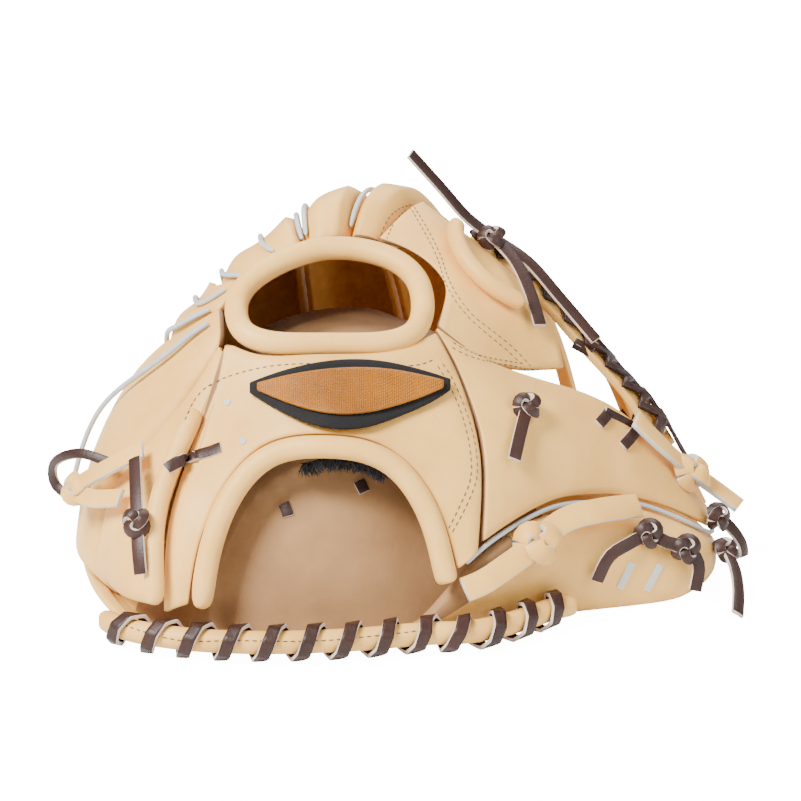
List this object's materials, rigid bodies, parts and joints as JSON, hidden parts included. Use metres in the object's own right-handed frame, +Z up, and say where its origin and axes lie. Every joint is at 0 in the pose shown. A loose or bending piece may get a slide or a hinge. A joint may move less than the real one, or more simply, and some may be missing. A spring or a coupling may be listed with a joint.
{
  "type": "outfield baseball glove",
  "caption": "Outfield baseball glove of cream leather with brown laces, grey piping and a laced web, lying palm down.",
  "frame": {"origin": "on the ground under the middle of the glove", "axes": "+Z up, +Y from the heel towards the fingertips, +X towards the thumb"},
  "size_m": [0.3046, 0.2848, 0.1784],
  "materials": {
    "cream_leather": "satin",
    "brown_lace": "satin",
    "grey_piping": "satin",
    "black_fleece": "matte",
    "patch_felt": "matte",
    "patch_gold": "satin"
  },
  "bodies": {
    "root": {"palm_shell": "cream_leather", "back_index": "cream_leather", "back_middle": "cream_leather", "back_ring": "cream_leather", "back_pinky": "cream_leather", "pinky_side_panel": "cream_leather", "wrist_strap": "cream_leather", "pinky_flap": "cream_leather", "thumb_panel": "cream_leather", "index_panel": "cream_leather", "back_hole_binding": "cream_leather", "wrist_binding": "cream_leather", "heel_binding": "cream_leather", "pinky_roll": "cream_leather", "web_post_near": "cream_leather", "web_post_middle": "cream_leather", "web_post_far": "cream_leather", "web_tip_bar": "cream_leather", "web_stay_1": "cream_leather", "web_stay_2": "cream_leather", "web_stay_3": "cream_leather", "thong_heel": "cream_leather", "thong_thumb": "cream_leather", "thong_pinky": "cream_leather", "piping_index": "grey_piping", "piping_middle": "grey_piping", "piping_ring_right": "grey_piping", "piping_ring_middle": "grey_piping", "piping_ring_left": "grey_piping", "piping_pinky_middle": "grey_piping", "piping_pinky_left": "grey_piping", "piping_side": "grey_piping", "piping_thumb": "grey_piping", "heel_lace": "brown_lace", "web_lattice_lace": "brown_lace", "web_roll": "cream_leather", "lace_thumb_back": "brown_lace", "lace_thumb_side": "brown_lace", "lace_tip_upper": "brown_lace", "lace_tip_lower": "brown_lace", "lace_pinky": "brown_lace", "lace_loop": "brown_lace", "web_knot": "brown_lace", "strap_fleece": "black_fleece", "strap_patch_base": "patch_felt", "strap_patch_face": "patch_gold"}
  },
  "joints": []
}
